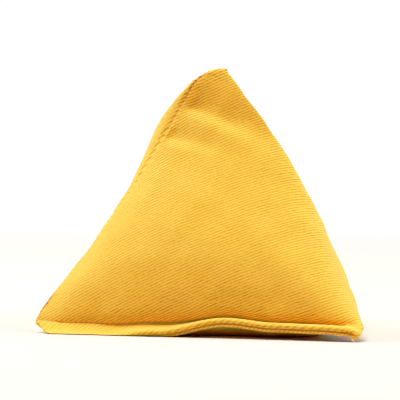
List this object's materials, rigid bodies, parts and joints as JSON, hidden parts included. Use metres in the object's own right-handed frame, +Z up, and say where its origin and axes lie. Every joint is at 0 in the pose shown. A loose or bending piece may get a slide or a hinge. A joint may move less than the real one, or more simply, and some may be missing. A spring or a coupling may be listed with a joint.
{
  "type": "pyramid bean bag",
  "caption": "Small soft tetrahedral bean bag of sewn cotton twill with a flat ear at the top and a closing lip along the front of its base.",
  "frame": {"origin": "middle of the bounding box's underside, on the surface that the bag stands on", "axes": "+Z up, +X to the right along the closing lip as seen from the front, -Y out of the front panel"},
  "size_m": [0.1072, 0.0934, 0.0832],
  "materials": {
    "cotton_twill": "matt yellow cotton twill"
  },
  "bodies": {
    "root": {"bag": "cotton_twill"}
  },
  "joints": []
}
